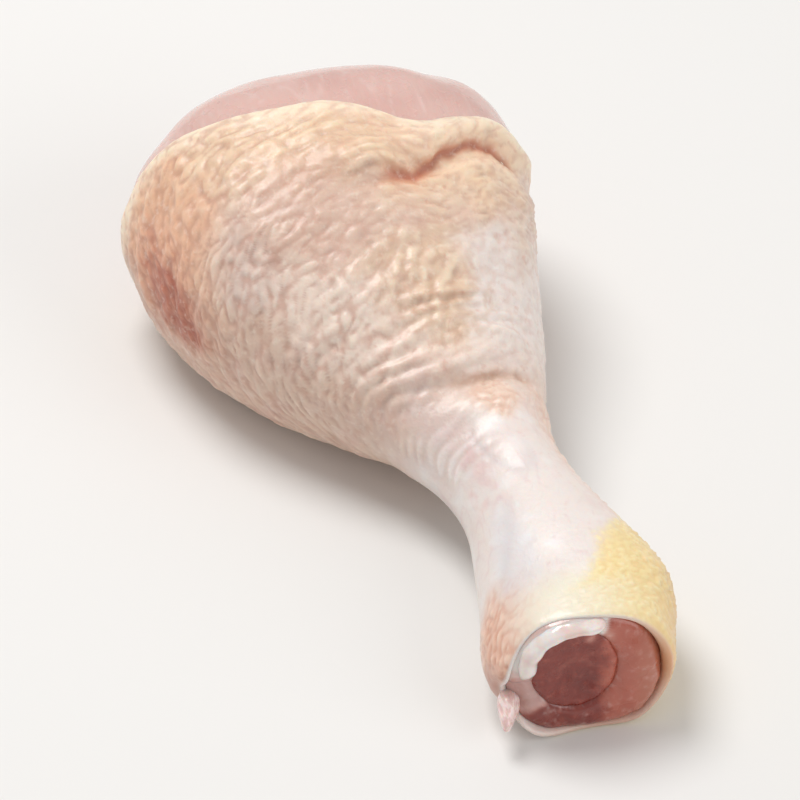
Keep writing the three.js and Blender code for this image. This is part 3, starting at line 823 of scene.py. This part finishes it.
class Material:
    """A procedural material built node by node, in object coordinates."""

    # Blender's Mix node has sockets for every kind of value. These are its share and its two colours, and
    # the colour that comes out.
    MIX_INPUTS = (0, 6, 7)
    MIX_OUTPUT = 2

    # Nearly all of a noise texture's values.
    NOISE_RANGE = (0.35, 0.65)

    def __init__(self, name):
        self.material = bpy.data.materials.new(name)
        self.material.use_nodes = True
        self.nodes = self.material.node_tree.nodes
        self.links = self.material.node_tree.links
        self.nodes.clear()
        output = self.nodes.new("ShaderNodeOutputMaterial")
        self.shader = self.nodes.new("ShaderNodeBsdfPrincipled")
        self.links.new(self.shader.outputs["BSDF"], output.inputs["Surface"])
        self.place = self.nodes.new("ShaderNodeTexCoord").outputs["Object"]

    def settings(self, **values):
        """Plain values of the shader's sockets, named with underscores for spaces."""
        for name, value in values.items():
            self.shader.inputs[name.replace("_", " ")].default_value = value

    def attribute(self, name, output="Fac"):
        """What is kept on the mesh under a name."""
        node = self.nodes.new("ShaderNodeAttribute")
        node.attribute_name = name
        return node.outputs[output]

    def tint(self):
        """The colour kept on the mesh."""
        return self.attribute("tint", "Color")

    def noise(self, size, stretch=(1, 1, 1), detail=3):
        """Noise with features about `size` metres across, longer where stretch is large."""
        mapping = self.nodes.new("ShaderNodeMapping")
        mapping.inputs["Scale"].default_value = [1 / (size * longer) for longer in stretch]
        self.links.new(self.place, mapping.inputs["Vector"])
        node = self.nodes.new("ShaderNodeTexNoise")
        node.inputs["Scale"].default_value = 1
        node.inputs["Detail"].default_value = detail
        self.links.new(mapping.outputs["Vector"], node.inputs["Vector"])
        return node.outputs["Fac"]

    def cells(self, size):
        """Cells about `size` metres across: 0 in the middle of each and more towards its border."""
        node = self.nodes.new("ShaderNodeTexVoronoi")
        node.inputs["Scale"].default_value = 1 / size
        self.links.new(self.place, node.inputs["Vector"])
        return node.outputs["Distance"]

    def ramp(self, value, low, high, to_low=0.0, to_high=1.0):
        """A value stretched from low..high to to_low..to_high, and held there."""
        node = self.nodes.new("ShaderNodeMapRange")
        node.interpolation_type = "SMOOTHSTEP"
        limits = {"From Min": low, "From Max": high, "To Min": to_low, "To Max": to_high}
        for name, number in limits.items():
            node.inputs[name].default_value = number
        self.links.new(value, node.inputs["Value"])
        return node.outputs["Result"]

    def product(self, first, second):
        node = self.nodes.new("ShaderNodeMath")
        node.operation = "MULTIPLY"
        for socket, output in zip(node.inputs, (first, second)):
            self.links.new(output, socket)
        return node.outputs["Value"]

    def mix(self, share, first, second):
        """A colour mixed from two; either is a colour or another node's output."""
        node = self.nodes.new("ShaderNodeMix")
        node.data_type = "RGBA"
        for index, value in zip(self.MIX_INPUTS, (share, first, second)):
            if isinstance(value, tuple):
                node.inputs[index].default_value = value
            else:
                self.links.new(value, node.inputs[index])
        return node.outputs[self.MIX_OUTPUT]

    def colour(self, output):
        self.links.new(output, self.shader.inputs["Base Color"])

    def roughness(self, output):
        self.links.new(output, self.shader.inputs["Roughness"])

    def uneven_roughness(self, size, smoothest, roughest, detail=2):
        """A roughness that wanders between two values, over about `size` metres."""
        noise_value = self.noise(size, detail=detail)
        self.roughness(self.ramp(noise_value, *self.NOISE_RANGE, smoothest, roughest))

    def bump(self, height, distance):
        """Fine relief, the given number of metres high."""
        node = self.nodes.new("ShaderNodeBump")
        node.inputs["Distance"].default_value = distance
        self.links.new(height, node.inputs["Height"])
        self.links.new(node.outputs["Normal"], self.shader.inputs["Normal"])


def skin_material():
    """Moist skin, specked on the belly and a little glossier on the shank."""
    skin = Material("raw_chicken_skin")
    on_belly = skin.ramp(skin.attribute("shank"), 0.0, 1.0, 1.0, 0.15)
    light_specks = skin.product(skin.ramp(skin.noise(0.0012), 0.52, 0.75, to_high=0.25), on_belly)
    dark_specks = skin.product(skin.ramp(skin.noise(0.0015), 0.55, 0.75, to_high=0.30), on_belly)
    colour = skin.mix(light_specks, skin.tint(), srgb(252, 240, 226))
    skin.colour(skin.mix(dark_specks, colour, srgb(206, 154, 134)))
    skin.roughness(skin.ramp(skin.attribute("shank"), 0.0, 1.0, 0.46, 0.40))
    skin.bump(skin.noise(0.0009), 0.00012)
    skin.settings(Subsurface_Weight=0.3, Subsurface_Scale=0.0012, Subsurface_Radius=(1.0, 0.5, 0.35))
    skin.settings(Coat_Weight=0.28, Coat_Roughness=0.2)
    return skin.material


def meat_material():
    """Wet muscle with pale streaks along the leg."""
    meat = Material("raw_muscle")
    streaks = meat.ramp(meat.noise(0.0012, stretch=(6, 1, 1)), 0.5, 0.8, to_high=0.25)
    meat.colour(meat.mix(streaks, meat.tint(), srgb(230, 198, 190)))
    meat.uneven_roughness(0.005, 0.2, 0.36, detail=3)
    meat.bump(meat.noise(0.0012, stretch=(5, 1, 1)), 0.0001)
    meat.settings(Subsurface_Weight=0.35, Subsurface_Scale=0.002, Subsurface_Radius=(1.0, 0.35, 0.25))
    meat.settings(Coat_Weight=0.6, Coat_Roughness=0.08)
    return meat.material


def bone_material():
    """Red marrow with dark pits."""
    bone = Material("red_marrow_bone")
    pits = bone.ramp(bone.noise(0.0008), 0.55, 0.75, to_high=0.3)
    bone.colour(bone.mix(pits, bone.tint(), srgb(92, 40, 36)))
    bone.uneven_roughness(0.002, 0.24, 0.40)
    bone.bump(bone.noise(0.0009), 0.00015)
    bone.settings(Subsurface_Weight=0.15, Subsurface_Scale=0.001, Coat_Weight=0.4, Coat_Roughness=0.15)
    return bone.material


def cartilage_material():
    """Glossy white cartilage, pinkish in patches."""
    cartilage = Material("wet_cartilage")
    patches = cartilage.ramp(cartilage.noise(0.005), 0.4, 0.62)
    cartilage.colour(cartilage.mix(patches, srgb(243, 235, 231), srgb(234, 212, 204)))
    cartilage.uneven_roughness(0.003, 0.14, 0.26)
    cartilage.bump(cartilage.noise(0.002), 0.0001)
    cartilage.settings(Subsurface_Weight=0.5, Subsurface_Scale=0.002, Coat_Weight=0.6, Coat_Roughness=0.06)
    return cartilage.material


def tendon_material():
    """Silvery pink tendon with fibres along the leg."""
    tendon = Material("silvery_tendon")
    fibres = tendon.ramp(tendon.noise(0.0006, stretch=(8, 1, 1)), 0.4, 0.6)
    tendon.colour(tendon.mix(fibres, srgb(226, 194, 188), srgb(242, 222, 217)))
    tendon.uneven_roughness(0.002, 0.2, 0.34)
    tendon.bump(tendon.noise(0.0006, stretch=(8, 1, 1), detail=2), 0.0001)
    tendon.settings(Subsurface_Weight=0.4, Subsurface_Scale=0.0018, Coat_Weight=0.4, Coat_Roughness=0.1)
    return tendon.material


def fat_material():
    """Soft yellowish fat in lobules."""
    fat = Material("soft_fat")
    lobules = fat.ramp(fat.cells(0.0022), 0.15, 0.6)
    fat.colour(fat.mix(lobules, srgb(236, 212, 168), srgb(222, 188, 144)))
    fat.uneven_roughness(0.002, 0.22, 0.36)
    fat.bump(fat.cells(0.0016), 0.0002)
    fat.settings(Subsurface_Weight=0.5, Subsurface_Scale=0.002, Coat_Weight=0.4, Coat_Roughness=0.12)
    return fat.material


# ---------------------------------------------------------------- meat

MEAT_COLOUR = (216, 176, 166)
CUT_COLOUR = (130, 46, 34)

# Heights of the meat's relief, in millimetres.
FIBRES = 0.06
LOBES = 0.18
SEAM_DEEPENING = 0.9
CUT_LUMPS = 0.25

# The meat's swelling at the hock is weaker along the leg than across it.
WEAKER_ALONG = [0.3, 1, 1]

# The surroundings of a vertex come from so many rounds of smoothing. A vertex that lies so many
# millimetres below them is deep in a seam.
SMOOTHING_ROUNDS = 60
DEEP_HOLLOW = 0.5


def make_meat(skin_edge):
    """Deepens the seams between the muscles, and closes the gaps to the skin and round the bone's end."""
    piece = refined("meat", "muscle", longest=0.9)
    points, normals = read_points(piece.data)
    along, angle = leg.coordinates(points)
    hock = at_hock(along)
    cut = near_end(along, CUT_FACE_BEGINS) * smooth(normals[:, 0], 0.0, 0.4)
    hollow = hollows(piece.data, points, normals)
    fibres = np.abs(noise(points / [6, 1.4, 1.4], seed=81)) - 0.3
    lobes = noise(points / 7, seed=85)
    above_table = smooth(points[:, 2], 0.8, 5)
    under_edge = above_table * bump(along - skin_edge.at(angle) - 0.3, 1.3)
    height = above_table * (FIBRES * fibres + LOBES * lobes - SEAM_DEEPENING * smooth(hollow, 0.1, 0.8))
    height = (height + EDGE_FILL * under_edge) * (1 - hock)
    moved = points + normals * height[:, None] + HOCK_JOIN * hock[:, None] * normals * WEAKER_ALONG
    moved[:, 0] += cut * CUT_LUMPS * noise(points[:, 1:] / 2.4, seed=87)
    moved[:, 0] += cut * FACE_FILL * bump(leg.from_bone(points), 1.6)
    write_points(piece.data, moved)
    store_tint(piece.data, meat_colours(points, hollow, cut))
    dress(piece, "meat", meat_material())


def hollows(mesh, points, normals):
    """How deep each vertex lies between its neighbours, from -1 on a ridge to 1 in a seam."""
    edges = np.empty(len(mesh.edges) * 2, dtype=np.int64)
    mesh.edges.foreach_get("vertices", edges)
    starts, ends = edges.reshape(-1, 2).T
    here, there = np.concatenate([starts, ends]), np.concatenate([ends, starts])
    count = np.bincount(here, minlength=len(points))
    mean = points
    for _ in range(SMOOTHING_ROUNDS):
        sums = [np.bincount(here, weights=column[there], minlength=len(points)) for column in mean.T]
        mean = np.stack(sums, axis=1) / count[:, None]
    return np.clip(np.sum((mean - points) * normals, axis=1) / DEEP_HOLLOW, -1, 1)


def meat_colours(points, hollow, cut):
    """Pale muscle, redder on the knee end, with painted shade in the seams and painted light on the ridges,
    and the hock's cut face.
    """
    along, angle = leg.coordinates(points)
    patches = noise(points / 9, seed=88)
    streaks = 1 - smooth(np.abs(noise(points / [16, 4, 4], seed=90)), 0.0, 0.08)
    knee_face = 1 - smooth(along + 2 * patches, 4, 13)
    beside_bone = cut * smooth(leg.from_bone(points), 0.4, 1.2)
    sheath = beside_bone * within(angle + 9 * noise(points / 2, seed=97), 88, 168, 8)
    pink_film = beside_bone * within(angle, 172, 216, 10)
    colours = painted(MEAT_COLOUR, (
        (smooth(patches, -0.4, 0.6), (208, 164, 154)),
        (0.4 * streaks, (234, 212, 206)),
        (0.9 * knee_face, (200, 134, 120)),
        (0.5 * knee_face * smooth(noise(points / 5, seed=94), 0.0, 0.7), (214, 158, 142)),
        (0.3 * knee_face * streaks, (228, 196, 186)),
        # Painted shade in the seams between the muscles, and painted light on the ridges.
        (0.8 * smooth(hollow, 0.05, 0.6), (160, 80, 70)),
        (0.4 * smooth(hollow, -0.2, -0.8), (226, 190, 180)),
    ))
    colours += (cut_colours(points) - colours) * cut[:, None]
    return painted(colours, (
        (0.95 * sheath, (246, 236, 230)),
        (0.85 * pink_film, (216, 182, 175)),
    ))


def cut_colours(points):
    """The dark red of the hock's cut face, paler towards the shin, with a pale arc and two painted
    highlights.
    """
    blotches = noise(points[:, 1:] / 1.8, seed=89)
    fine = noise(points[:, 1:] / 0.9, seed=96)
    aside, up = (points[:, 1:] - leg.bone_middle).T
    arc = bump(np.hypot(aside - 0.6, up + 2.2) - 3.4, 0.45) * smooth(up, -1.5, 0.5)
    return painted(CUT_COLOUR, (
        (0.5 * smooth(blotches, 0.0, 0.7), (150, 66, 48)),
        (0.5 * bump(np.hypot(aside - 1.2, up + 2.6), 2.4), (104, 32, 24)),
        (0.35 * arc, (172, 104, 88)),
        (smooth(aside + 1.2 * blotches, 3.2, 6.4), (180, 94, 74)),
        (0.6 * smooth(aside + 0.8 * blotches, 8.6, 11.5), (176, 106, 80)),
        (0.3 * smooth(fine, 0.1, 0.8), (194, 116, 98)),
        # Two painted highlights: small glints on the cut face.
        (0.7 * bump(np.hypot(aside - 2.4, up - 5.6), 0.8), (222, 172, 160)),
        (0.6 * bump(np.hypot(aside - 5.6, up - 5.6), 0.9), (220, 166, 152)),
    ))


# ---------------------------------------------------------------- bone, cartilage, tendons and fat

MARROW_COLOUR = (146, 64, 58)

# Heights of the lumps on the bone and on the small pieces, in millimetres.
BONE_LUMPS = 0.25
SMALL_LUMPS = 0.3

# The ends of a piece sink this many times as deep as its side, over so many degrees.
END_SINK = 2.0
END_SOFTNESS = 22


def make_bone():
    """Swells both ends of the bone into the pieces round them."""
    piece = refined("tibia", "shin_bone", longest=0.5)
    points, normals = read_points(piece.data)
    along, _ = leg.coordinates(points)
    at_end = at_hock(along)
    at_knee = 1 - smooth(along, 4, 8)
    lumps = BONE_LUMPS * noise(points / 2.2, seed=91)
    swelling = at_end * (HOCK_JOIN + lumps) + at_knee * (KNEE_JOIN + lumps)
    write_points(piece.data, points + normals * swelling[:, None])
    marrow = painted(MARROW_COLOUR, ((smooth(noise(points / 1.5, seed=93), 0.0, 0.7), (120, 46, 44)),))
    store_tint(piece.data, marrow + (cut_colours(points) - marrow) * at_end[:, None])
    dress(piece, "tibia", bone_material())


def make_small_piece(node, name, material, sink, swell=0.05, ends=None):
    """Dresses a small piece, swollen a little. Its side towards +X, or towards -X where `sink` is negative,
    moves that many millimetres into the leg. If `ends` gives the angles between which a piece stays whole,
    it sinks away beyond them."""
    piece = refined(node, name, longest=0.6)
    points, normals = read_points(piece.data)
    moved = points + normals * (SMALL_LUMPS * noise(points / 2.6, seed=95) + swell)[:, None]
    moved[:, 0] += sink * smooth(normals[:, 0] * math.copysign(1, sink), 0.0, 0.6)
    if ends:
        _, angle = leg.coordinates(points)
        moved[:, 0] += END_SINK * sink * (1 - within(angle, *ends, END_SOFTNESS))
    write_points(piece.data, moved)
    dress(piece, node, material)


def make_small_pieces():
    cartilage, tendon, fat = cartilage_material(), tendon_material(), fat_material()
    make_small_piece("knee_cartilage", "knee_joint_cartilage", cartilage, sink=0.8)
    make_small_piece("knee_ligament", "knee_joint_ligament", tendon, sink=1.2, swell=0.6)
    make_small_piece("knee_fat_pad", "knee_joint_fat", fat, sink=1.2, swell=0.6)
    make_small_piece(
        "hock_cartilage", "hock_joint_cartilage", cartilage,
        sink=-0.8, swell=0.5, ends=(92, 164),
    )
    make_small_piece("hock_tendon", "hock_tendon_stub", tendon, sink=-1.2)


# ---------------------------------------------------------------- surroundings

FLOOR_HALF = 1.5
WORLD_STRENGTH = 0.48


def make_floor():
    mesh = bpy.data.meshes.new("floor")
    corners = [(x * FLOOR_HALF, y * FLOOR_HALF, 0) for x, y in ((-1, -1), (1, -1), (1, 1), (-1, 1))]
    mesh.from_pydata(corners, [], [(0, 1, 2, 3)])
    floor = bpy.data.objects.new("floor", mesh)
    bpy.context.scene.collection.objects.link(floor)
    paint = Material("pale_floor")
    paint.settings(Base_Color=srgb(236, 234, 231), Roughness=0.7)
    mesh.materials.append(paint.material)


def add_light(name, place, size, power):
    """A round lamp, so many metres across and so many watts strong, aimed at the leg."""
    data = bpy.data.lights.new(name, "AREA")
    data.shape = "DISK"
    data.size = size
    data.energy = power
    light = bpy.data.objects.new(name, data)
    light.location = place
    light.rotation_euler = (CAMERA["target"] - light.location).to_track_quat("-Z", "Y").to_euler()
    bpy.context.scene.collection.objects.link(light)


def light_the_scene():
    add_light("key", place=(-0.30, -0.22, 0.80), size=0.45, power=4.6)
    add_light("fill", place=(0.6, 0.6, 0.5), size=0.8, power=2.4)
    world = bpy.data.worlds.new("studio")
    world.use_nodes = True
    background = world.node_tree.nodes["Background"]
    background.inputs["Color"].default_value = (1, 1, 1, 1)
    background.inputs["Strength"].default_value = WORLD_STRENGTH
    bpy.context.scene.world = world
    bpy.context.scene.view_settings.view_transform = "Standard"


def make_camera():
    data = bpy.data.cameras.new("camera")
    data.lens = CAMERA["lens"]
    data.clip_start = 0.05
    data.clip_end = 10
    camera = bpy.data.objects.new("camera", data)
    level = math.cos(CAMERA["elevation"])
    back = Vector((
        level * math.cos(CAMERA["azimuth"]),
        level * math.sin(CAMERA["azimuth"]),
        math.sin(CAMERA["elevation"]),
    ))
    camera.location = CAMERA["target"] + CAMERA["distance"] * back
    turn = (-back).to_track_quat("-Z", "Y").to_matrix().to_4x4() @ Matrix.Rotation(CAMERA["roll"], 4, "Z")
    camera.rotation_euler = turn.to_euler()
    bpy.context.scene.collection.objects.link(camera)
    bpy.context.scene.camera = camera


make_camera()
light_the_scene()
make_floor()
make_meat(skin_edge=make_skin())
make_bone()
make_small_pieces()
